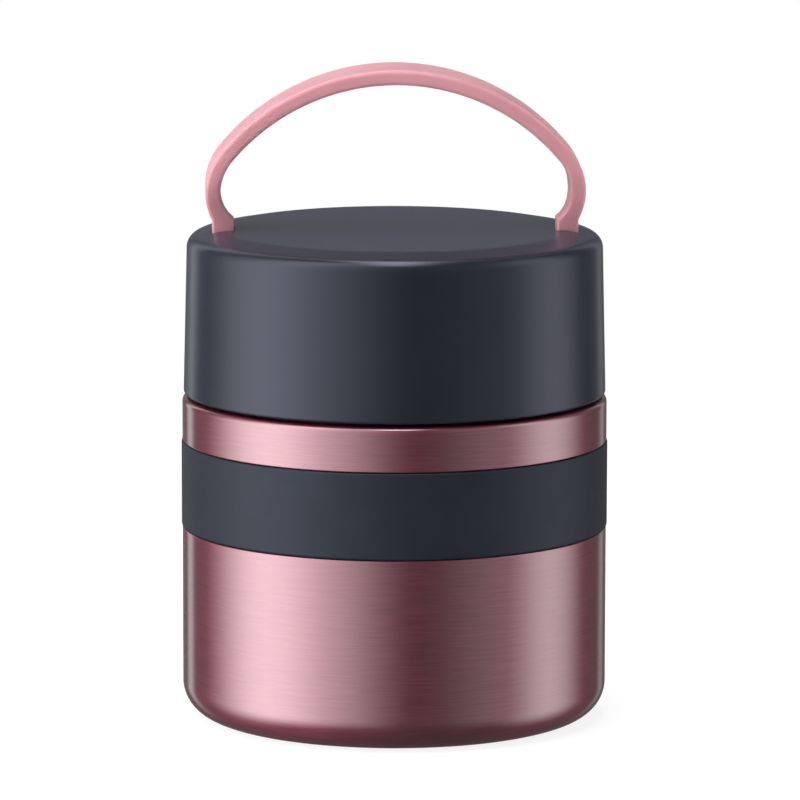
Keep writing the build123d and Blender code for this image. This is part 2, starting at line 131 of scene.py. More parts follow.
def linear(code: str) -> tuple[float, float, float, float]:
    """Turns a hex sRGB colour into Blender's linear red, green and blue, with an alpha of 1."""
    values = [int(code.lstrip("#")[i:i + 2], 16) / 255 for i in (0, 2, 4)]
    red, green, blue = (v / 12.92 if v <= 0.04045 else ((v + 0.055) / 1.055) ** 2.4 for v in values)
    return (red, green, blue, 1.0)


class Canvas:
    """A material in the making: its tree, its Principled shader and the object coordinates in mm."""

    def __init__(self, name: str) -> None:
        self.material = bpy.data.materials.new(name)
        self.material.use_nodes = True
        self.tree = self.material.node_tree
        self.shader = self.tree.nodes["Principled BSDF"]
        metres = add(self.tree, "ShaderNodeTexCoord").outputs["Object"]
        self.place = add(self.tree, "ShaderNodeVectorMath", {0: metres, "Scale": 1 / MM},
                         operation="SCALE").outputs["Vector"]

    def set(self, values: dict) -> None:
        """Gives inputs of the shader an output socket or a constant each."""
        put(self.tree, self.shader, values)

    def spread(self, pattern: Socket, low: float = 0.0, high: float = 1.0,
               start: float = 0.3, end: float = 0.7) -> Socket:
        """Maps a pattern's useful stretch, start to end, onto low to high."""
        return eased(self.tree, pattern, start, end, low, high)

    def vary(self, factor: Socket, low: str, high: str) -> None:
        """Lets the colour run between two hex values with a factor from 0 to 1."""
        colour_a, colour_b, colour_out = 6, 7, 2        # the Mix node's sockets for colours
        mix = add(self.tree, "ShaderNodeMix", {"Factor": factor, colour_a: linear(low), colour_b: linear(high)},
                  data_type="RGBA")
        self.set({"Base Color": mix.outputs[colour_out]})

    def relief(self, height: Socket, depth_mm: float) -> None:
        """Adds a bump of a real depth."""
        bump = add(self.tree, "ShaderNodeBump", {"Height": height, "Distance": depth_mm * MM, "Strength": 1.0})
        self.set({"Normal": bump.outputs["Normal"]})

    def grain(self, size_mm: float, detail: float = 2.0) -> Socket:
        """Even noise whose spots are size_mm wide."""
        return add(self.tree, "ShaderNodeTexNoise", {"Vector": self.place, "Scale": 1 / size_mm,
                                                     "Detail": detail}).outputs["Fac"]

    def turning_lines(self, streak_mm: float, line_mm: float) -> Socket:
        """Noise drawn out into fine lines round the Z axis, on sides and flat faces alike.

        Args:
            streak_mm: how long a line runs before it fades.
            line_mm: the distance between two lines.

        Returns:
            A value round 0.5.
        """
        x, y, z = add(self.tree, "ShaderNodeSeparateXYZ", {0: self.place}).outputs
        radius = add(self.tree, "ShaderNodeVectorMath", {0: vector(self.tree, x, y)},
                     operation="LENGTH").outputs["Value"]
        fine = calc(self.tree, "MULTIPLY", calc(self.tree, "ADD", radius, z), streak_mm / line_mm)
        return add(self.tree, "ShaderNodeTexNoise", {
            "Vector": vector(self.tree, x, y, fine), "Scale": 1 / streak_mm,
            "Detail": 2.0, "Roughness": 0.6}).outputs["Fac"]


# ------------------------------------------------------------------ finishes
@dataclass(frozen=True)
class Finish:
    """What every finish has: a name, a colour and the shader's plain values."""

    name: str
    colour: str
    roughness: float = 0.5
    metallic: float = 0.0
    ior: float = 1.5
    shine: str = "#ffffff"      # tint of the shine seen straight on; plastics with cool pigments have a cool one

    def build(self) -> Material:
        """Makes the material: the constants on the shader's own sockets, then what dress adds."""
        canvas = Canvas(self.name)
        canvas.set({"Base Color": linear(self.colour), "Roughness": self.roughness, "Metallic": self.metallic})
        if not self.metallic:
            canvas.set({"IOR": self.ior, "Specular Tint": linear(self.shine)})
        self.dress(canvas)
        return canvas.material

    def dress(self, canvas: Canvas) -> None:
        """Adds the finish's own patterns to its material."""
        raise NotImplementedError


@dataclass(frozen=True)
class BrushedSteel(Finish):
    """18/8 stainless steel with fine lines round the axis, which spread each light into an upright band."""

    metallic: float = 1.0
    dark: str = "#833c4d"
    line_mm: float = 0.28       # grit 180 leaves 0.1 mm lines, drawn coarser so that they show
    streak_mm: float = 9.0
    line_depth_mm: float = 0.007
    brushing: float = 0.42
    smoother: float = 0.03      # how far the lines' roughness goes under the plain value
    rougher: float = 0.03       # and over it
    brush_turn: float = 0.25    # turns from the tangent to the way in which the light spreads

    def brush(self, canvas: Canvas) -> Socket:
        """Adds the lines' roughness, relief and spread, and returns their pattern."""
        lines = canvas.turning_lines(self.streak_mm, self.line_mm)
        rough = canvas.spread(lines, self.roughness - self.smoother, self.roughness + self.rougher)
        tangent = add(canvas.tree, "ShaderNodeTangent", direction_type="RADIAL", axis="Z")
        canvas.relief(lines, self.line_depth_mm)
        canvas.set({"Roughness": rough, "Tangent": tangent.outputs[0], "Anisotropic": self.brushing,
                    "Anisotropic Rotation": self.brush_turn})
        return lines


@dataclass(frozen=True)
class LacqueredSteel(BrushedSteel):
    """Brushed steel under a clear rose lacquer.

    The tint makes the middle tones dusty rose, and the smooth lacquer adds a
    paler, sharper glint.
    """

    coat_roughness: float = 0.13
    coat_ior: float = 2.2

    def dress(self, canvas: Canvas) -> None:
        """Adds the lines and the lacquer."""
        canvas.vary(canvas.spread(self.brush(canvas)), self.dark, self.colour)
        canvas.set({"Coat Weight": 1.0, "Coat Roughness": self.coat_roughness, "Coat IOR": self.coat_ior})


@dataclass(frozen=True)
class BareSteel(BrushedSteel):
    """Drawn and satin ground steel with no lacquer: a grey, soft shine."""

    dark: str = "#aeaca8"
    line_mm: float = 0.5
    streak_mm: float = 30.0
    line_depth_mm: float = 0.0012
    brushing: float = 0.5
    smoother: float = 0.05
    rougher: float = 0.08
    stain_mm: float = 14.0

    def dress(self, canvas: Canvas) -> None:
        """Adds the lines and faint stains."""
        self.brush(canvas)
        canvas.vary(canvas.spread(canvas.grain(self.stain_mm, 3.0)), self.dark, self.colour)


@dataclass(frozen=True)
class Moulding(Finish):
    """What mouldings share: a colour that drifts over the piece, and a fine even skin."""

    other: str = "#ffffff"      # the colour drifts to this one
    drift_mm: float = 10.0
    drift_detail: float = 2.0
    grain_mm: float = 0.3
    grain_detail: float = 1.0
    grain_depth_mm: float = 0.004
    smoother: float = 0.02      # how far the roughness goes under the plain value
    rougher: float = 0.01       # and over it
    rough_skin: bool = False    # True: the roughness follows the skin and not the drift

    def dress(self, canvas: Canvas) -> None:
        """Adds the drift and the skin."""
        drift = canvas.grain(self.drift_mm, self.drift_detail)
        skin = canvas.grain(self.grain_mm, self.grain_detail)
        canvas.vary(canvas.spread(drift), self.colour, self.other)
        canvas.set({"Roughness": canvas.spread(skin if self.rough_skin else drift, self.roughness - self.smoother,
                                               self.roughness + self.rougher)})
        canvas.relief(skin, self.grain_depth_mm)


@dataclass(frozen=True)
class MouldedPlastic(Moulding):
    """Polypropylene, injection moulded in an eroded mould: a satin skin with a fine even grain."""

    colour: str = "#1d2125"
    ior: float = 1.49
    shine: str = "#e0e1ff"
    other: str = "#202429"
    drift_mm: float = 26.0
    grain_mm: float = 0.32      # the real grain is 0.1 mm wide, drawn coarser so that it shows
    haze: float = 0.0           # the grain's cool glow where it is seen flat on
    haze_tint: str = "#a8a6ff"

    def dress(self, canvas: Canvas) -> None:
        """Adds the moulding's patterns and the haze."""
        super().dress(canvas)
        canvas.set({"Sheen Weight": self.haze, "Sheen Tint": linear(self.haze_tint)})


@dataclass(frozen=True)
class Silicone(Moulding):
    """Compression moulded silicone rubber: matt, a little soft, with fine dust on it."""

    other: str = "#1c1f27"
    drift_mm: float = 9.0
    drift_detail: float = 4.0
    grain_mm: float = 0.4
    grain_detail: float = 2.0
    grain_depth_mm: float = 0.006
    smoother: float = 0.04
    rougher: float = 0.05
    rough_skin: bool = True


@dataclass(frozen=True)
class StrapElastomer(Moulding):
    """Thermoplastic elastomer, moulded in one shot: satin, and light sinks a little into it."""

    other: str = "#daa0a9"
    drift_mm: float = 11.0
    drift_detail: float = 3.0
    grain_depth_mm: float = 0.0015
    smoother: float = 0.03
    rougher: float = 0.04
    sink_share: float = 0.75
    sink_mm: float = 3.0
    sink_rgb: tuple[float, float, float] = (0.8, 0.55, 0.5)     # how deep each colour sinks, times sink_mm

    def dress(self, canvas: Canvas) -> None:
        """Adds the moulding's patterns and the sinking light."""
        super().dress(canvas)
        canvas.set({"Subsurface Weight": self.sink_share, "Subsurface Radius": self.sink_rgb,
                    "Subsurface Scale": self.sink_mm * MM})


@dataclass(frozen=True)
class BeadFoam(Finish):
    """Expanded polystyrene: white beads of 2.5 mm pressed together, with fine joints."""

    joint: str = "#c9c8c2"
    bead_mm: float = 2.5
    joint_share: float = 0.12   # width of a joint, in beads
    joint_mm: float = 0.08      # its depth

    def dress(self, canvas: Canvas) -> None:
        """Adds the beads."""
        cells = add(canvas.tree, "ShaderNodeTexVoronoi", {"Vector": canvas.place, "Scale": 1 / self.bead_mm},
                    feature="DISTANCE_TO_EDGE")
        edge = canvas.spread(cells.outputs["Distance"], start=0.0, end=self.joint_share)
        canvas.vary(edge, self.joint, self.colour)
        canvas.relief(edge, self.joint_mm)


@dataclass(frozen=True)
class WrappedFoil(Finish):
    """Rolled copper foil: bright metal with soft creases from wrapping it by hand."""

    metallic: float = 1.0
    dark: str = "#9c5f45"
    crease_mm: float = 6.0
    crease_depth_mm: float = 0.15

    def dress(self, canvas: Canvas) -> None:
        """Adds the creases."""
        crease = canvas.grain(self.crease_mm, 4.0)
        canvas.vary(canvas.spread(crease), self.dark, self.colour)
        canvas.relief(crease, self.crease_depth_mm)


@dataclass(frozen=True)
class SealingGlass(Finish):
    """Lead-free sealing glass, melted in place: glossy green-grey with small bubbles."""

    bubble: str = "#7f9484"
    bubble_mm: float = 0.6
    bubble_depth_mm: float = 0.02
    clear_share: float = 0.3

    def dress(self, canvas: Canvas) -> None:
        """Adds the bubbles."""
        bubbles = canvas.grain(self.bubble_mm)
        canvas.vary(canvas.spread(bubbles), self.colour, self.bubble)
        canvas.relief(bubbles, self.bubble_depth_mm)
        canvas.set({"Transmission Weight": self.clear_share})


# ------------------------------------------------------------------ outlines
@dataclass(frozen=True)
class Outline:
    """Corners (r, z) or (r, z, rounding) in mm, joined by straight sides and arcs.

    An outline that starts and ends on the axis makes a solid body, and any
    other outline is closed on itself and makes a ring.
    """

    corners: tuple[Corner, ...]
    arc_step_deg: float = 7.5
    arc_steps_min: int = 3
    support_mm: float = 0.12    # distance of the loops that keep a straight side flat
    support_side: float = 6.0   # shortest side that gets them, in support distances
    side_share: float = 0.98    # largest share of a side that its two roundings take

    def on_axis(self) -> bool:
        """True if the outline starts and ends on the axis."""
        return self.corners[0][0] == 0 and self.corners[-1][0] == 0

    def _sides(self, i: int) -> tuple[Vector, Vector]:
        """The sides that come to corner i and leave it."""
        here = Vector(self.corners[i][:2])
        before = Vector(self.corners[i - 1][:2])
        after = Vector(self.corners[(i + 1) % len(self.corners)][:2])
        return here - before, after - here

    def _wish(self, i: int) -> float:
        """How far along its sides corner i's rounding reaches if there is room."""
        corner = self.corners[i]
        at_end = self.on_axis() and i in (0, len(self.corners) - 1)
        if len(corner) < 3 or at_end:
            return 0.0
        inward, onward = self._sides(i)
        return corner[2] * math.tan(abs(inward.angle_signed(onward)) / 2)

    def _rounded(self, i: int) -> list[Point]:
        """Points of one corner: itself, or the arc that rounds it."""
        count = len(self.corners)
        corner = self.corners[i]
        wish = self._wish(i)
        if wish < NEAR:
            return [(corner[0], corner[1])]
        inward, onward = self._sides(i)
        room_before = self.side_share * inward.length / (self._wish((i - 1) % count) + wish)
        room_after = self.side_share * onward.length / (wish + self._wish((i + 1) % count))
        reach = wish * min(1.0, room_before, room_after)
        turn = inward.angle_signed(onward)
        inward.normalize()
        radius = reach / math.tan(abs(turn) / 2)
        start = Vector(corner[:2]) - inward * reach
        centre = start + Vector((inward.y, -inward.x)) * math.copysign(radius, turn)
        steps = max(self.arc_steps_min, round(math.degrees(abs(turn)) / self.arc_step_deg))
        spoke = start - centre
        points = []
        for k in range(steps + 1):
            arm = Matrix.Rotation(-turn * k / steps, 2) @ spoke
            points.append((centre.x + arm.x, centre.y + arm.y))
        return points

    def points(self) -> list[Point]:
        """All points in order, with supporting points near the ends of long sides."""
        count = len(self.corners)
        groups = [self._rounded(i) for i in range(count)]
        result: list[Point] = []
        for i, group in enumerate(groups):
            result += group
            if i == count - 1 and self.on_axis():
                break
            start = Vector(group[-1])
            end = Vector(groups[(i + 1) % count][0])
            length = (end - start).length
            if length > self.support_side * self.support_mm:
                step = (end - start) / length * self.support_mm
                result += [tuple(start + step), tuple(end - step)]
        return [p for k, p in enumerate(result) if k == 0 or math.dist(p, result[k - 1]) > NEAR]


def pressed(path: list[Corner], wall: float) -> tuple[Corner, ...]:
    """Corners of a sheet of even thickness that lies to the left of a path.

    Args:
        path: one skin of the sheet as (r, z, rounding) corners in mm.
        wall: the sheet's thickness in mm.

    Returns:
        The closed outline: the path, and the other skin on the way back.
    """
    other: list[Corner] = []
    for i, corner in enumerate(path):
        here = Vector(corner[:2])
        first = (here - Vector(path[i - 1][:2])).normalized() if i else (Vector(path[1][:2]) - here).normalized()
        last = (Vector(path[i + 1][:2]) - here).normalized() if i < len(path) - 1 else first
        n1 = Vector((-first.y, first.x))
        n2 = Vector((-last.y, last.x))
        point = here + (n1 + n2) * wall / (1 + n1.dot(n2))
        cross = first.x * last.y - first.y * last.x
        rounding = corner[2] if len(corner) > 2 else 0.0
        if cross > 0:
            rounding = max(rounding - wall, 0.0)
        elif rounding > 0:
            rounding += wall
        other.append((point.x, point.y, rounding))
    return tuple(path) + tuple(reversed(other))


# ------------------------------------------------------------------ meshes
def finished_mesh(name: str, work: Work, sharp_deg: float = SHARP_DEG) -> Piece:
    """Turns a closed bmesh in metres into a linked, smooth-shaded object at the origin, and frees it."""
    bmesh.ops.remove_doubles(work, verts=work.verts, dist=WELD)
    bmesh.ops.recalc_face_normals(work, faces=work.faces)
    mesh = bpy.data.meshes.new(name)
    work.to_mesh(mesh)
    work.free()
    mesh.shade_smooth()
    mesh.set_sharp_from_angle(angle=math.radians(sharp_deg))
    return linked(name, mesh)


def linked(name: str, data: bpy.types.ID) -> Piece:
    """Makes an object of a mesh or a camera, in the scene."""
    item = bpy.data.objects.new(name, data)
    bpy.context.scene.collection.objects.link(item)
    return item


def evaluated_mesh(item: Piece) -> bpy.types.Mesh:
    """The mesh of an object as its modifiers make it."""
    bpy.context.view_layer.update()
    view = bpy.context.evaluated_depsgraph_get()
    return bpy.data.meshes.new_from_object(item.evaluated_get(view))


def skin(work: Work, rings: list[list[bmesh.types.BMVert]], closed: bool) -> None:
    """Joins rings of vertices with faces. A ring of one vertex is a point.

    Args:
        work: the bmesh that has the vertices.
        rings: the rings in order, each a closed loop.
        closed: True if the last ring is joined to the first too.
    """
    for low, high in zip(rings, rings[1:] + rings[:1] if closed else rings[1:]):
        count = max(len(low), len(high))
        for k in range(count if count > 1 else 0):
            after = (k + 1) % count
            if len(low) == 1:
                work.faces.new((low[0], high[k], high[after]))
            elif len(high) == 1:
                work.faces.new((low[k], low[after], high[0]))
            else:
                work.faces.new((low[k], low[after], high[after], high[k]))


def lathe(outline: Outline, sides: int = 240) -> Work:
    """Turns an outline round the Z axis, in a number of steps, into a closed bmesh in metres."""
    work = bmesh.new()
    rings = []
    for r, z in outline.points():
        angles = [2 * math.pi * k / sides for k in range(sides)] if r >= NEAR else []
        rings.append([work.verts.new((r * math.cos(a) * MM, r * math.sin(a) * MM, z * MM)) for a in angles]
                     or [work.verts.new((0, 0, z * MM))])
    skin(work, rings, closed=not outline.on_axis())
    return work


def turned(name: str, outline: Outline) -> Piece:
    """Makes a turned piece of an outline."""
    return finished_mesh(name, lathe(outline))


def cross_bar(name: str, side: int, lid_top_z: float, radius: float, rounding: float = 0.0) -> Piece:
    """Makes a round bar along Y where a foot's pin lies, with rounded ends, in mm."""
    half = PIN_LENGTH / 2
    work = lathe(Outline(((0.0, -half), (radius, -half, rounding), (radius, half, rounding), (0.0, half))), PIN_SIDES)
    place = Matrix.Translation((side * FOOT_X * MM, 0, (lid_top_z - PIN_DROP) * MM))
    work.transform(place @ Matrix.Rotation(math.pi / 2, 4, "X"))
    return finished_mesh(name, work)


def upright_block(x: float, y: float, low: float, high: float, width_x: float, width_y: float,
                  rounding: float) -> Piece:
    """Makes an upright block with rounded corners, all in mm.

    Args:
        x: its middle.
        y: its middle.
        low: height of its lower face.
        high: height of its upper face.
        width_x: its size along X.
        width_y: its size along Y.
        rounding: radius of its four upright corners.

    Returns:
        The block as an object.
    """
    signs = ((1, 1), (-1, 1), (-1, -1), (1, -1))
    corners = tuple((sx * width_x / 2, sy * width_y / 2, rounding) for sx, sy in signs)
    work = bmesh.new()
    loop = [work.verts.new(((x + a) * MM, (y + b) * MM, low * MM))
            for a, b in Outline(corners, support_mm=width_x + width_y).points()]
    base = work.faces.new(loop)
    grown = bmesh.ops.extrude_face_region(work, geom=[base])
    moved = [v for v in grown["geom"] if isinstance(v, bmesh.types.BMVert)]
    bmesh.ops.translate(work, verts=moved, vec=(0, 0, (high - low) * MM))
    return finished_mesh("block", work)


def join_into(target: Piece, extra: Piece) -> None:
    """Adds another object's mesh, at the origin too, to the target and removes that object."""
    work = bmesh.new()
    work.from_mesh(target.data)
    work.from_mesh(extra.data)
    work.to_mesh(target.data)
    work.free()
    bpy.data.objects.remove(extra)


def cut(target: Piece, cutter: Piece, how: str = "DIFFERENCE") -> None:
    """Applies an exact boolean to the target and removes the cutter."""
    boolean = target.modifiers.new("cut", "BOOLEAN")
    boolean.operation = how
    boolean.solver = "EXACT"
    boolean.object = cutter
    mesh = evaluated_mesh(target)
    target.modifiers.clear()
    target.data = mesh
    bpy.data.objects.remove(cutter)


def settle(item: Piece, body: Body, slot: str, material: Material, *nodes: str) -> None:
    """Gives a piece its material and body, and hides the CAD nodes that it stands for.

    Args:
        item: the finished piece.
        body: the body that it moves with.
        slot: not used.
        material: its finish.
        *nodes: the CAD nodes that it replaces.
    """
    item.data.materials.clear()
    item.data.materials.append(material)
    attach(item, body.value)
    if nodes:
        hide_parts(*nodes)
    LOG.info("%s: %d faces, rides on %s", item.name, len(item.data.polygons), body.value)


def dress_node(name: str, material: Material) -> None:
    """Gives a CAD node that stays visible its finish."""
    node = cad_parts[name]
    node.data.materials.clear()
    node.data.materials.append(material)
    LOG.info("%s: CAD node dressed", name)


# ------------------------------------------------------------------ screw thread
@dataclass
class ScrewThread:
    """Equal ridges that run round a wall on a helix and fade out at both ends.

    Sizes are in mm and degrees. A negative height makes the ridges point to
    the axis, as on the inside of a skirt.
    """

    name: str
    wall_r: float
    height: float
    base: float
    crest: float
    first_z: float
    first_deg: float
    turn_deg: float
    fade_deg: float
    lead: float = 12.0
    starts: int = 2
    sunk: float = 0.3
    crest_round: float = 0.28
    crest_steps: int = 3
    helix_steps: int = 120      # for each turn
    end_share: float = 0.12     # size of the section where a ridge ends

    def _sockets(self) -> dict[str, float]:
        """The tree's named inputs with their values in metres and turns."""
        return {
            "Wall Radius": (self.wall_r - math.copysign(self.sunk, self.height)) * MM,
            "Ridge Height": (abs(self.height) + self.sunk) * MM,
            "Base Width": self.base * MM,
            "Crest Width": self.crest * MM,
            "Crest Rounding": self.crest_round * MM,
            "Lead": self.lead * MM,
            "Turns": self.turn_deg / 360,
            "Fade": self.fade_deg / self.turn_deg,
            "First Height": self.first_z * MM,
            "First Angle": math.radians(self.first_deg),
        }

    def tree(self, material: Material) -> Tree:
        """Builds the Geometry Nodes tree, which takes the inputs of _sockets and gives the ridges a material."""
        tree = bpy.data.node_groups.new(self.name, "GeometryNodeTree")
        tree.interface.new_socket("Geometry", in_out="OUTPUT", socket_type="NodeSocketGeometry")
        for label in self._sockets():
            tree.interface.new_socket(label, in_out="INPUT", socket_type="NodeSocketFloat")
        tree.interface.new_socket("Starts", in_out="INPUT", socket_type="NodeSocketInt")
        given = add(tree, "NodeGroupInput").outputs
        helix = add(tree, "GeometryNodeCurveSpiral", {
            "Resolution": self.helix_steps, "Rotations": given["Turns"], "Start Radius": given["Wall Radius"],
            "End Radius": given["Wall Radius"], "Height": calc(tree, "MULTIPLY", given["Lead"], given["Turns"]),
            "Reverse": True})
        upright = add(tree, "GeometryNodeSetCurveNormal", {"Curve": helix.outputs[0]}, mode="Z_UP")
        shape = add(tree, "GeometryNodeCurvePrimitiveQuadrilateral", {
            "Bottom Width": given["Base Width"], "Top Width": given["Crest Width"],
            "Height": given["Ridge Height"], "Offset": 0.0}, mode="TRAPEZOID")
        rooted = add(tree, "GeometryNodeTransform", {
            "Geometry": shape.outputs[0],
            "Translation": vector(tree, y=calc(tree, "MULTIPLY", given["Ridge Height"], 0.5))})
        soft = add(tree, "GeometryNodeFilletCurve", {
            "Curve": rooted.outputs[0], "Radius": given["Crest Rounding"], "Count": self.crest_steps,
            "Limit Radius": True}, mode="POLY")
        # The section's height runs along its Y; it is turned to point away from
        # the axis, or to it on the inside of a wall.
        towards = math.radians(-90.0 if self.height > 0 else 90.0)
        section = add(tree, "GeometryNodeTransform", {"Geometry": soft.outputs[0], "Rotation": Euler((0, 0, towards))})
        along = add(tree, "GeometryNodeSplineParameter").outputs["Factor"]
        near = calc(tree, "MINIMUM", along, calc(tree, "SUBTRACT", 1.0, along))
        ridge = add(tree, "GeometryNodeCurveToMesh", {
            "Curve": upright.outputs[0], "Profile Curve": section.outputs[0],
            "Scale": eased(tree, near, 0.0, given["Fade"], self.end_share), "Fill Caps": True})
        seeds = add(tree, "GeometryNodePoints", {"Count": given["Starts"]})
        share = calc(tree, "DIVIDE", add(tree, "GeometryNodeInputIndex").outputs[0], given["Starts"])
        angle = calc(tree, "MULTIPLY_ADD", share, 2 * math.pi, given["First Angle"])
        copies = add(tree, "GeometryNodeInstanceOnPoints", {
            "Points": seeds.outputs[0], "Instance": ridge.outputs[0], "Rotation": vector(tree, z=angle)})
        placed = add(tree, "GeometryNodeTransform", {
            "Geometry": copies.outputs[0], "Translation": vector(tree, z=given["First Height"])})
        real = add(tree, "GeometryNodeRealizeInstances", {"Geometry": placed.outputs[0]})
        painted = add(tree, "GeometryNodeSetMaterial", {"Geometry": real.outputs[0], "Material": material})
        add(tree, "NodeGroupOutput", {0: painted.outputs[0]})
        return tree

    def build(self, material: Material) -> Piece:
        """Runs the tree and keeps its result as a plain mesh object."""
        tree = self.tree(material)
        carrier = linked(self.name, bpy.data.meshes.new(self.name))
        modifier = carrier.modifiers.new("ridges", "NODES")
        modifier.node_group = tree
        values = {**self._sockets(), "Starts": self.starts}
        for item in tree.interface.items_tree:
            if item.in_out == "INPUT":
                modifier[item.identifier] = values[item.name]
        mesh = evaluated_mesh(carrier)
        bpy.data.objects.remove(carrier)
        work = bmesh.new()
        work.from_mesh(mesh)
        return finished_mesh(self.name, work)


# ------------------------------------------------------------------ jar
@dataclass
class JarShell:
    """The outside of the jar: tube, shoulder, threaded neck, pressed base and its cover (mm)."""

    body_r: float
    wall: float = 0.6
    seam_z: float = 12.0
    base_corner_r: float = 7.4
    shoulder_edge_r: float = 1.2
    rest_ring_width: float = 4.2
    base_recess: float = 3.0
    base_ramp: float = 1.4
    bend_r: float = 0.8
    groove_depth: float = 1.3
    groove_gap: float = 0.1
    neck_root_r: float = 2.0
    ridge_z: float = 3.2
    dimple_r: float = 7.0
    dimple_ramp: float = 1.0
    dimple_depth: float = 1.4
    port_r: float = 1.0
    cover_wall: float = 0.5
    cover_gap: float = 1.2
    panel_r: float = 20.0
    panel_drop: float = 0.6

    def tube(self, band_low: float, band_high: float) -> Outline:
        """Outline of the tube with the band's groove, the shoulder and the neck."""
        edge = self.groove_depth / 4
        floor_r = self.body_r - self.groove_depth
        low = band_low - self.groove_gap
        high = band_high + self.groove_gap
        path = [
            (self.body_r, self.seam_z),
            (self.body_r, low, edge),
            (floor_r, low, edge),
            (floor_r, high, edge),
            (self.body_r, high, edge),
            (self.body_r, SHOULDER_Z, self.shoulder_edge_r),
            (NECK_R, SHOULDER_Z, self.neck_root_r),
            (NECK_R, LIP_Z - LINER_WALL),
        ]
        return Outline(pressed(path, self.wall))

    def thread(self) -> ScrewThread:
        """The neck's ridges."""
        return ScrewThread("neck_thread", NECK_R, height=1.4, base=3.0, crest=1.2,
                           first_z=SHOULDER_Z + self.ridge_z, first_deg=0.0, turn_deg=300.0, fade_deg=38.0)

    def cup(self) -> Outline:
        """Outline of the pressed base."""
        ring_r = self.body_r - self.base_corner_r - self.rest_ring_width
        top = self.base_recess + self.dimple_depth
        path = [
            (self.port_r, top),
            (self.dimple_r - self.dimple_ramp, top, self.bend_r),
            (self.dimple_r, self.base_recess, self.bend_r),
            (ring_r - self.base_ramp, self.base_recess, self.bend_r),
            (ring_r, 0.0, self.bend_r),
            (self.body_r, 0.0, self.base_corner_r),
            (self.body_r, self.seam_z),
        ]
        return Outline(pressed(path, self.wall), arc_step_deg=5.0)

    def cover(self) -> Outline:
        """Outline of the disc under the base, with its lowered middle."""
        low = self.base_recess - self.cover_wall
        ramp = self.panel_drop + self.cover_wall
        edge_r = self.body_r - self.base_corner_r - self.rest_ring_width - self.base_ramp - self.cover_gap
        path = [
            (0.0, low - self.panel_drop),
            (self.panel_r - ramp, low - self.panel_drop, self.bend_r),
            (self.panel_r, low, self.bend_r),
            (edge_r, low),
        ]
        return Outline(pressed(path, self.cover_wall))

    def build(self, band_low: float, band_high: float, steel: Material, bare: Material) -> None:
        """Builds and dresses the shell's pieces.

        Args:
            band_low: lower edge of the grip band.
            band_high: upper edge of the grip band.
            steel: the lacquered finish outside.
            bare: the plain finish of the base's cover.
        """
        shell = turned("shell_tube", self.tube(band_low, band_high))
        join_into(shell, self.thread().build(steel))
        settle(shell, Body.JAR, "shell_steel", steel, "shell_tube", "shell_neck")
        settle(turned("shell_base", self.cup()), Body.JAR, "shell_steel", steel, "base_cup")
        settle(turned("base_disc", self.cover()), Body.JAR, "bare_steel", bare, "base_cover")


@dataclass
class InnerVessel:
    """The food container inside the vacuum (mm)."""

    neck_r: float = 34.4
    belly_r: float = 42.0
    floor_z: float = 7.0
    shoulder_z: float = 65.2
    shoulder_round: float = 4.0
    neck_end_z: float = 69.2
    neck_round: float = 2.5
    lip_edge_r: float = 0.8
    floor_r: float = 8.0

    def outline(self) -> Outline:
        """Outline of the liner from its floor to the lip over the shell's neck."""
        wall = LINER_WALL
        path = [
            (0.0, self.floor_z - wall),
            (self.belly_r + wall, self.floor_z - wall, self.floor_r + wall),
            (self.belly_r + wall, self.shoulder_z, self.shoulder_round + wall),
            (self.neck_r + wall, self.neck_end_z, self.neck_round),
            (self.neck_r + wall, LIP_Z - wall, self.lip_edge_r / 2),
            (NECK_R, LIP_Z - wall),
        ]
        return Outline(pressed(path, wall))

    def build(self, bare: Material) -> None:
        """Builds and dresses the liner."""
        settle(turned("food_liner", self.outline()), Body.JAR, "bare_steel", bare, "liner_cup", "liner_neck")


@dataclass
class GripBand:
    """The silicone band in the shell's groove (mm)."""

    outer_r: float
    low_z: float
    high_z: float
    thickness: float = 1.5
    edge_r: float = 0.5
    inner_edge_r: float = 0.65

    def build(self, silicone: Material) -> None:
        """Builds and dresses the band."""
        inner = self.outer_r - self.thickness
        outline = Outline((
            (inner, self.low_z, self.inner_edge_r),
            (self.outer_r, self.low_z, self.edge_r),
            (self.outer_r, self.high_z, self.edge_r),
            (inner, self.high_z, self.inner_edge_r),
        ))
        settle(turned("silicone_band", outline), Body.JAR, "band_silicone", silicone, "grip_band")


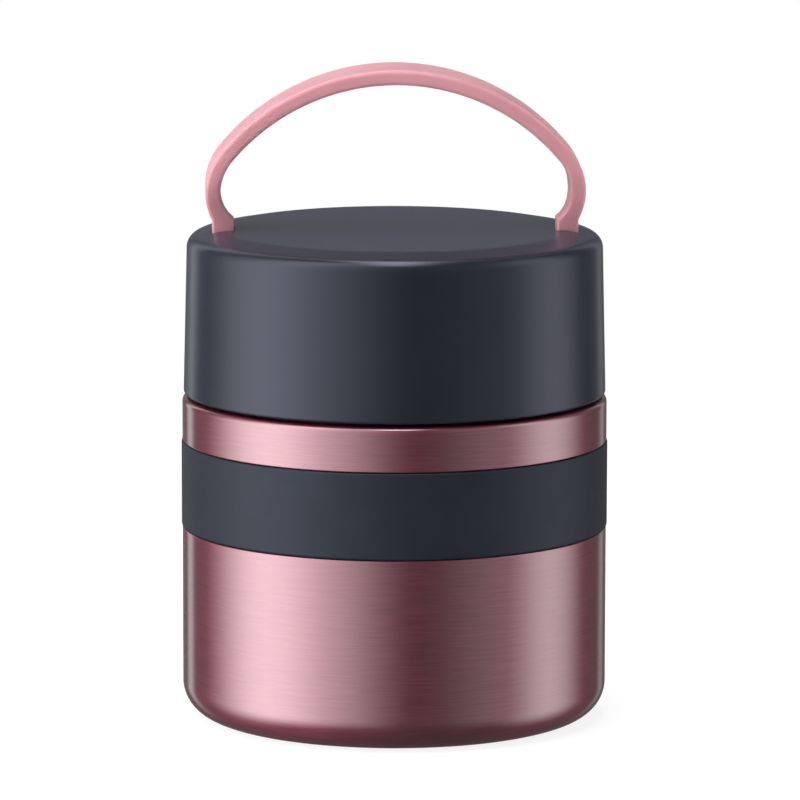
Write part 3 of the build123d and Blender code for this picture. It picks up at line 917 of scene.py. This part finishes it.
# ------------------------------------------------------------------ lid
@dataclass
class LidShell:
    """The lid's outer moulding and its threaded inner moulding (mm)."""

    bottom_r: float
    bottom_z: float
    top_z: float
    draft_deg: float = 1.35
    wall: float = 2.2
    top_wall: float = 2.3
    knee_r: float = 37.3
    fall_deg: float = 10.9
    knee_round: float = 8.0
    edge_round: float = 3.0
    rim_round: float = 0.6
    ledge: float = 0.45
    gasket_height: float = 1.9
    gasket_width: float = 3.5
    gasket_gap: float = 0.4
    gasket_low_round: float = 0.4
    gasket_top_round: float = 0.15
    plug_r: float = 32.5
    plug_depth: float = 8.0
    plug_wall: float = 1.8
    plug_edge_r: float = 1.5
    keeper_drop: float = 0.4        # the bead that holds the gasket, under the lip
    keeper_height: float = 0.8
    keeper_width: float = 0.8
    keeper_round: float = 0.15
    ceiling_wall: float = 1.8
    skirt_r: float = 38.4
    skirt_wall: float = 1.9
    skirt_lift: float = 1.2
    skirt_ridge_z: float = 73.286   # 1.914 mm under the neck's ridge at the same bearing
    flange: float = 1.5
    slot_x: float = 5.1
    slot_y: float = 8.4
    slot_round: float = 0.85
    pin_hole_r: float = 1.28
    saddle_width: float = 6.4
    saddle_root: float = 0.77
    saddle_round: float = 0.4

    def side_r(self, z: float) -> float:
        """Outer radius of the leaning side at a height."""
        return self.bottom_r - (z - self.bottom_z) * math.tan(math.radians(self.draft_deg))

    def cap(self) -> Outline:
        """Outline of the outer moulding."""
        lean = math.tan(math.radians(self.draft_deg))
        fall = math.tan(math.radians(self.fall_deg))
        height = self.top_z - self.bottom_z
        edge_r = (self.bottom_r - lean * (height + self.knee_r * fall)) / (1 - lean * fall)
        edge_z = self.top_z - (edge_r - self.knee_r) * fall
        flange_top = SHOULDER_Z + self.skirt_lift + self.flange
        seat_r = self.side_r(flange_top) - self.wall
        under_z = self.top_z - self.top_wall
        return Outline((
            (0.0, self.top_z),
            (self.knee_r, self.top_z, self.knee_round),
            (edge_r, edge_z, self.edge_round),
            (self.bottom_r, self.bottom_z, self.rim_round),
            (self.bottom_r - self.wall, self.bottom_z, self.rim_round),
            (seat_r, flange_top),
            (seat_r - self.ledge, flange_top),
            (edge_r - self.wall - self.ledge, edge_z - self.top_wall, self.edge_round / 2),
            (self.knee_r - self.wall, under_z, self.edge_round),
            (0.0, under_z),
        ), arc_step_deg=3.0)

    def cut_for_foot(self, cap: Piece, side: int) -> None:
        """Gives the outer moulding one slot for a foot, and the two saddles that its pin bears on."""
        x = side * FOOT_X
        pin_z = self.top_z - PIN_DROP
        saddle_top = self.top_z - self.top_wall + self.saddle_root
        saddle_y = (PIN_LENGTH - self.slot_y) / 2
        for end in (-1, 1):
            y = end * (self.slot_y + saddle_y) / 2
            cut(cap, upright_block(x, y, pin_z, saddle_top, self.saddle_width, saddle_y, self.saddle_round), "UNION")
        low = pin_z - self.top_wall
        high = self.top_z + self.top_wall
        cut(cap, upright_block(x, 0.0, low, high, self.slot_x, self.slot_y, self.slot_round))
        cut(cap, cross_bar("pin_seat", side, self.top_z, self.pin_hole_r))

    def inner(self) -> Outline:
        """Outline of the inner moulding with its plug, skirt and closing flange."""
        ceiling = LIP_Z + self.gasket_height
        ceiling_top = ceiling + self.ceiling_wall
        keeper_top = LIP_Z - self.keeper_drop
        keeper_r = self.plug_r + self.keeper_width
        skirt_low = SHOULDER_Z + self.skirt_lift
        skirt_out = self.skirt_r + self.skirt_wall
        flange_top = skirt_low + self.flange
        floor = ceiling - self.plug_depth
        core_r = self.plug_r - self.plug_wall
        return Outline((
            (0.0, floor),
            (self.plug_r, floor, self.plug_edge_r),
            (self.plug_r, keeper_top - self.keeper_height),
            (keeper_r, keeper_top - self.keeper_height * 0.7, self.keeper_round),
            (keeper_r, keeper_top - self.keeper_height * 0.3, self.keeper_round),
            (self.plug_r, keeper_top),
            (self.plug_r, ceiling),
            (self.skirt_r, ceiling, 0.5),
            (self.skirt_r, skirt_low, 0.3),
            (self.side_r(skirt_low) - self.wall, skirt_low, 0.2),
            (self.side_r(flange_top) - self.wall, flange_top),
            (skirt_out, flange_top, 0.4),
            (skirt_out, ceiling_top, 0.9),
            (core_r, ceiling_top),
            (core_r, floor + self.plug_wall),
            (0.0, floor + self.plug_wall),
        ))

    def thread(self) -> ScrewThread:
        """The skirt's ridges."""
        return ScrewThread("skirt_thread", self.skirt_r, height=-1.3, base=2.8, crest=1.0,
                           first_z=self.skirt_ridge_z, first_deg=60.0, turn_deg=200.0, fade_deg=34.0)

    def gasket(self) -> Outline:
        """Outline of the sealing ring."""
        inner = self.plug_r + self.gasket_gap
        outer = inner + self.gasket_width
        high = LIP_Z + self.gasket_height
        return Outline((
            (inner, LIP_Z, self.gasket_low_round), (outer, LIP_Z, self.gasket_low_round),
            (outer, high, self.gasket_top_round), (inner, high, self.gasket_top_round),
        ))

    def build(self, satin: Material, plain: Material, rubber: Material) -> None:
        """Builds and dresses the lid's mouldings and the gasket.

        Args:
            satin: finish of the outer moulding.
            plain: finish of the inner moulding.
            rubber: finish of the gasket.
        """
        cap = turned("lid_shell", self.cap())
        for side in (-1, 1):
            self.cut_for_foot(cap, side)
        cap.data.set_sharp_from_angle(angle=math.radians(SHARP_DEG))
        settle(cap, Body.LID, "lid_plastic", satin, "lid_cap")
        inner = turned("lid_inner", self.inner())
        join_into(inner, self.thread().build(plain))
        settle(inner, Body.LID, "inner_plastic", plain, "lid_inner_cap")
        settle(turned("sealing_ring", self.gasket()), Body.SEAL, "gasket_silicone", rubber, "mouth_gasket")


@dataclass
class CarryStrap:
    """The strap: a wide arch that turns in at the sides and ends in two narrow feet (mm)."""

    lid_top_z: float
    top_z: float
    thickness: float = 3.3
    half_width: float = 8.75
    side_half_width: float = 8.2
    crown_r: float = 49.0
    side_r: float = 14.0
    side_x: float = 26.95
    foot_thickness: float = 4.7
    foot_half_width: float = 4.0
    foot_depth: float = 8.6
    flare_lift: float = 2.2
    flare_height: float = 3.8
    flare_bulge: float = 0.08       # how far the flare's inner face bends out, in flare heights
    taper_share: float = 3.2        # height of the long taper to the feet, in flare heights
    edge_r: float = 0.95
    foot_edge_r: float = 0.7
    seam_height: float = 0.03
    seam_width: float = 0.3
    seam_end: float = 24.0          # height over the lid where the moulding seam has faded out
    seam_fade: float = 12.0
    seam_gap: float = 0.15          # distance of the supporting loop beside the seam
    edge_gap: float = 0.3           # and of the one beside a rounded edge
    pin_r: float = 1.25
    pin_round: float = 0.3
    sharp_deg: float = 50.0
    foot_steps: int = 6
    flare_steps: int = 12
    side_steps: int = 30
    crown_steps: int = 36
    edge_steps: int = 6

    def centres(self) -> tuple[Vector, Vector]:
        """Centres of the crown's arc and of the right side's arc, in the XZ plane."""
        crown = Vector((0.0, self.top_z - self.crown_r))
        rise = math.sqrt((self.crown_r - self.side_r) ** 2 - self.side_x ** 2)
        return crown, Vector((self.side_x, crown.y + rise))

    def half_width_at(self, z: float) -> float:
        """Half of the strap's width at a height: wide above, narrow at the feet."""
        flare_end = self.lid_top_z + self.flare_lift
        top = flare_end + self.taper_share * self.flare_height
        if z >= top:
            share = (z - top) / (self.top_z - top)
            return self.side_half_width + (self.half_width - self.side_half_width) * share
        share = max(0.0, (z - self.lid_top_z) / (top - self.lid_top_z))
        smooth = share * share * (3 - 2 * share)
        return self.foot_half_width + (self.side_half_width - self.foot_half_width) * smooth

    def stations(self) -> list[tuple[Vector, Vector]]:
        """Pairs of inner and outer points in the XZ plane, from the right foot to the crown."""
        crown, side = self.centres()
        inner_r = self.side_r - self.thickness
        foot_low = self.lid_top_z - self.foot_depth
        flare_end = self.lid_top_z + self.flare_lift
        flare_start = flare_end + self.flare_height
        foot_in = FOOT_X - self.foot_thickness / 2
        foot_out = FOOT_X + self.foot_thickness / 2
        outer_end = -math.acos((foot_out - side.x) / self.side_r)
        inner_end = -math.asin((side.y - flare_start) / inner_r)
        outer_end_z = side.y + self.side_r * math.sin(outer_end)
        touch = math.atan2(side.y - crown.y, side.x)
        pairs: list[tuple[Vector, Vector]] = []
        for k in range(self.foot_steps + 1):
            z = foot_low + (flare_end - foot_low) * k / self.foot_steps
            pairs.append((Vector((foot_in, z)), Vector((foot_out, min(z, outer_end_z)))))
        start = Vector((foot_in, flare_end))
        end = side + inner_r * heading(inner_end)
        bulge = self.flare_bulge * self.flare_height
        middle = (start + end) / 2 + Vector((bulge, -bulge))
        for k in range(1, self.flare_steps + 1):
            t = k / self.flare_steps
            inner = (1 - t) ** 2 * start + 2 * t * (1 - t) * (2 * middle - (start + end) / 2) + t * t * end
            pairs.append((inner, side + self.side_r * heading(outer_end + (inner_end - outer_end) * t)))
        for centre, radius, first, last, steps in ((side, self.side_r, inner_end, touch, self.side_steps),
                                                   (crown, self.crown_r, touch, math.pi / 2, self.crown_steps)):
            for k in range(1, steps + 1):
                arm = heading(first + (last - first) * k / steps)
                pairs.append((centre + (radius - self.thickness) * arm, centre + radius * arm))
        return pairs

    def section(self, inner: Vector, outer: Vector) -> list[Vector]:
        """Points of one cross-section, in mm: a rounded bar with a fine seam on both edge faces.

        Args:
            inner: the inner face's point in the XZ plane.
            outer: the outer face's point.

        Returns:
            The closed loop of points, always of the same number.
        """
        span = outer - inner
        thickness = span.length
        axis = span / thickness
        middle_z = (inner.y + outer.y) / 2
        half_w = self.half_width_at(middle_z)
        fullness = (half_w - self.foot_half_width) / (self.half_width - self.foot_half_width)
        edge = self.foot_edge_r + (self.edge_r - self.foot_edge_r) * fullness
        half_t = thickness / 2
        seam = self.seam_width / 2
        ridge = self.seam_height * min(1.0, max(0.0, (self.lid_top_z + self.seam_end - middle_z) / self.seam_fade))
        upper = [(0.0, half_w + ridge), (seam * 0.5, half_w + ridge * 0.6), (seam, half_w),
                 (seam + self.seam_gap, half_w)]
        for k in range(self.edge_steps + 1):
            turn = math.pi / 2 * k / self.edge_steps
            upper.append((half_t - edge + edge * math.sin(turn), half_w - edge + edge * math.cos(turn)))
        upper += [(half_t, half_w - edge - self.edge_gap), (half_t, half_w * 0.4)]
        loop = upper + [(t, -w) for t, w in reversed(upper)]
        loop += [(-t, -w) for t, w in upper[1:]]
        loop += [(-t, w) for t, w in reversed(upper[1:])]
        centre = (inner + outer) / 2
        places = [(centre + axis * t, w) for t, w in loop]
        return [Vector((place.x, w, place.y)) for place, w in places]

    def mesh(self) -> Piece:
        """Skins the sections from foot to foot."""
        right = self.stations()
        left = [(Vector((-a.x, a.y)), Vector((-b.x, b.y))) for a, b in reversed(right[:-1])]
        work = bmesh.new()
        rings = [[work.verts.new(p * MM) for p in self.section(a, b)] for a, b in right + left]
        skin(work, rings, closed=False)
        work.faces.new(rings[0])
        work.faces.new(rings[-1])
        return finished_mesh("carry_strap", work, self.sharp_deg)

    def build(self, soft: Material, bare: Material) -> None:
        """Builds and dresses the strap and its two steel pins."""
        settle(self.mesh(), Body.LID, "strap_soft", soft, "handle_strap")
        for name, side in (("left", -1), ("right", 1)):
            pin = cross_bar(f"foot_pin_{name}", side, self.lid_top_z, self.pin_r, self.pin_round)
            settle(pin, Body.LID, "bare_steel", bare, f"strap_pin_{name}")


def heading(angle: float) -> Vector:
    """The unit vector at an angle in radians."""
    return Vector((math.cos(angle), math.sin(angle)))


# ------------------------------------------------------------------ studio
def seen_rays(tree: Tree) -> Socket:
    """Adds a switch: 1 for what the camera sees directly or through something clear, else 0."""
    path = add(tree, "ShaderNodeLightPath").outputs
    return calc(tree, "MAXIMUM", path["Is Camera Ray"], path["Is Transmission Ray"])


@dataclass(frozen=True)
class LitWindow:
    """One soft light of the surround: its bearing, how far it fades, its level and its height."""

    bearing_deg: float      # 0 is in front of the object, positive to its right
    half_width_deg: float
    level: float
    top_deg: float = 50.0
    low_deg: float = -33.0
    top_soft_deg: float = 12.0
    low_soft_deg: float = 18.0

    def level_at(self, tree: Tree, bearing: Socket, height: Socket) -> Socket:
        """Adds the nodes that give this light's level in a direction.

        Args:
            tree: the world's tree.
            bearing: the direction's bearing in radians.
            height: the direction's height over the horizon in radians.

        Returns:
            The level, 0 outside the light.
        """
        off = calc(tree, "SUBTRACT", bearing, math.radians(self.bearing_deg))
        away = calc(tree, "ABSOLUTE", calc(tree, "WRAP", off, math.pi, -math.pi))
        light = eased(tree, away, 0.0, math.radians(self.half_width_deg), self.level, 0.0)
        for edge_deg, soft_deg in ((self.top_deg, -self.top_soft_deg), (self.low_deg, self.low_soft_deg)):
            inside = eased(tree, height, math.radians(edge_deg - soft_deg), math.radians(edge_deg + soft_deg))
            light = calc(tree, "MULTIPLY", light, inside)
        return light


@dataclass
class Studio:
    """Pale floor, white surround with soft windows of light, and the camera."""

    floor_half: float = 3.0
    floor_colour: str = "#e9e9ea"
    floor_rough: float = 0.9
    shadow_near: float = 0.12       # metres from the axis where the floor's shadow starts to fade
    shadow_far: float = 0.5
    shadow_share: float = 0.3
    floor_level: float = 1.2        # seen floor near the object, where the shadow's share is left out
    room_level: float = 0.1
    top_level: float = 7.5          # light overhead, a panel that leans to the back
    top_half: float = 0.22          # half of its width in X, as a share of its distance
    top_side_soft: float = 0.22     # over which it fades out in X
    top_front: float = -0.5         # its edges in Y, the same
    top_back: float = 0.6
    top_soft: float = 0.35          # the same in Y
    lens_mm: float = 297.53
    sensor_mm: float = 36.0
    clip_near: float = 0.05
    clip_far: float = 50.0
    camera_place: tuple[float, float, float] = (1.184, -1415.95, 296.449)
    pitch: float = 0.159472
    roll: float = 0.00199
    bearing_deg: float = -1.8

    def windows(self) -> list[LitWindow]:
        """The lights round the object."""
        wall = {"top_deg": 34.0, "low_deg": -20.0}
        return [
            LitWindow(-82.0, 47.0, 2.2, top_deg=76.0),      # key light
            LitWindow(-52.0, 62.0, 1.75, top_deg=76.0),     # cloth screen beside it
            LitWindow(92.0, 34.0, 1.65),                    # narrow light on the right
            LitWindow(56.0, 46.0, 0.38),                    # its spill
            LitWindow(-149.0, 9.5, 1.1, **wall),            # white wall behind, left
            LitWindow(-173.0, 14.0, 0.12, **wall),          # dim middle of that wall, left
            LitWindow(152.0, 9.0, 0.45, **wall),            # white wall behind, right
            LitWindow(173.0, 14.0, 0.08, **wall),           # dim middle of that wall, right
            LitWindow(-155.0, 34.0, 0.8, top_deg=60.0, low_deg=30.0, low_soft_deg=8.0),     # ceiling behind, left
            LitWindow(136.0, 30.0, 0.3, top_deg=70.0, low_deg=44.0),                        # ceiling behind, right
        ]

    def floor(self) -> None:
        """Makes the floor: white where it is seen, with the object's shadow near the object."""
        half = self.floor_half
        mesh = bpy.data.meshes.new("floor")
        mesh.from_pydata([(-half, -half, 0), (half, -half, 0), (half, half, 0), (-half, half, 0)], [],
                         [(0, 1, 2, 3)])
        item = linked("floor", mesh)
        canvas = Canvas("floor_paper")
        canvas.set({"Base Color": linear(self.floor_colour), "Roughness": self.floor_rough})
        tree = canvas.tree
        place = add(tree, "ShaderNodeTexCoord").outputs["Object"]
        away = add(tree, "ShaderNodeVectorMath", {0: place}, operation="LENGTH").outputs["Value"]
        fade = eased(tree, away, self.shadow_near, self.shadow_far, 1.0 - self.shadow_share)
        level = eased(tree, away, self.shadow_near, self.shadow_far, self.floor_level)
        white = add(tree, "ShaderNodeEmission", {"Color": WHITE, "Strength": level})
        mix = add(tree, "ShaderNodeMixShader", {0: calc(tree, "MULTIPLY", seen_rays(tree), fade),
                                                1: canvas.shader.outputs[0], 2: white.outputs[0]})
        put(tree, tree.nodes["Material Output"], {"Surface": mix.outputs[0]})
        mesh.materials.append(canvas.material)
        # Gloss sees the surround below the floor too, as on a narrow table.
        item.visible_glossy = False

    def surround_level(self, tree: Tree) -> Socket:
        """Works out how bright the surround is in each direction, for every ray that isn't the camera's."""
        place = add(tree, "ShaderNodeTexCoord").outputs["Generated"]
        x, y, z = add(tree, "ShaderNodeSeparateXYZ", {0: place}).outputs
        bearing = calc(tree, "ARCTAN2", x, calc(tree, "MULTIPLY", y, -1.0))
        height = calc(tree, "ARCSINE", z)
        overhead = calc(tree, "GREATER_THAN", z, 0.0)
        for value, edge, way_in in ((calc(tree, "ABSOLUTE", x), self.top_half, -self.top_side_soft),
                                    (y, self.top_front, self.top_soft), (y, self.top_back, -self.top_soft)):
            overhead = calc(tree, "MULTIPLY", overhead, eased(tree, value, edge, edge + way_in))
        total = calc(tree, "MULTIPLY_ADD", overhead, self.top_level, self.room_level)
        for window in self.windows():
            total = calc(tree, "ADD", total, window.level_at(tree, bearing, height))
        return total

    def world(self) -> None:
        """Makes the surround: white where it is seen, windows of light for everything else."""
        world = bpy.data.worlds.new("surround")
        world.use_nodes = True
        tree = world.node_tree
        tree.nodes.clear()
        lights = add(tree, "ShaderNodeBackground", {"Color": WHITE, "Strength": self.surround_level(tree)})
        white = add(tree, "ShaderNodeBackground", {"Color": WHITE, "Strength": 1.0})
        mix = add(tree, "ShaderNodeMixShader", {0: seen_rays(tree), 1: lights.outputs[0], 2: white.outputs[0]})
        add(tree, "ShaderNodeOutputWorld", {0: mix.outputs[0]})
        # The floor stops light rays from below, so sampled lights would lose what gloss sees there.
        world.cycles.sampling_method = "NONE"
        bpy.context.scene.world = world

    def camera(self) -> None:
        """Places the camera."""
        data = bpy.data.cameras.new("camera")
        data.lens = self.lens_mm
        data.sensor_width = self.sensor_mm
        data.clip_start = self.clip_near
        data.clip_end = self.clip_far
        item = linked("camera", data)
        turn = Matrix.Rotation(math.radians(self.bearing_deg), 4, "Z")
        tilt = Matrix.Rotation(math.pi / 2 - self.pitch, 4, "X") @ Matrix.Rotation(self.roll, 4, "Z")
        item.matrix_world = turn @ Matrix.Translation(Vector(self.camera_place) * MM) @ tilt
        bpy.context.scene.camera = item

    def build(self) -> None:
        """Builds the studio."""
        self.floor()
        self.world()
        self.camera()
        bpy.context.scene.view_settings.view_transform = "Standard"


# ------------------------------------------------------------------ assembly
def main() -> None:
    """Builds the jar's looks round the frame, piece by piece."""
    logging.basicConfig(level=logging.INFO, format="%(name)s: %(message)s")
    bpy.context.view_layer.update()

    steel = LacqueredSteel("lacquered_brushed_steel", "#964a5b", 0.56).build()
    bare = BareSteel("satin_ground_steel", "#c9c6c1", 0.36).build()
    satin = MouldedPlastic("satin_polypropylene", roughness=0.26, haze=0.06).build()
    plain = MouldedPlastic("plain_polypropylene", roughness=0.42).build()
    band_rubber = Silicone("moulded_silicone_rubber", "#181b22", 0.52, ior=1.46, shine="#d9e6ff").build()
    seal_rubber = Silicone("ring_silicone_rubber", "#cfcfca", 0.5, ior=1.41, other="#dadad6").build()
    soft = StrapElastomer("strap_elastomer", "#d59ba4", 0.45, ior=1.48).build()

    band_low, band_high = (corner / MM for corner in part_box("grip_band"))
    tube_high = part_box("shell_tube")[1] / MM
    cap_low, cap_high = (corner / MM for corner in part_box("lid_cap"))
    strap_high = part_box("handle_strap")[1] / MM

    JarShell(body_r=tube_high.x).build(band_low.z, band_high.z, steel, bare)
    InnerVessel().build(bare)
    GripBand(outer_r=band_high.x, low_z=band_low.z, high_z=band_high.z).build(band_rubber)
    LidShell(bottom_r=45.72, bottom_z=cap_low.z, top_z=cap_high.z).build(satin, plain, seal_rubber)
    CarryStrap(lid_top_z=cap_high.z, top_z=strap_high.z).build(soft, bare)

    dress_node("lid_insulation", BeadFoam("expanded_bead_foam", "#efeeea", 0.8).build())
    dress_node("radiation_foil", WrappedFoil("rolled_copper_foil", "#d98e68", 0.25).build())
    dress_node("vacuum_seal", SealingGlass("melted_sealing_glass", "#5d7263", 0.1, ior=1.52).build())
    dress_node("getter", BareSteel("pressed_getter_alloy", "#5a5a5d", 0.6, dark="#474749").build())

    Studio().build()


if __name__ == "__main__":
    main()
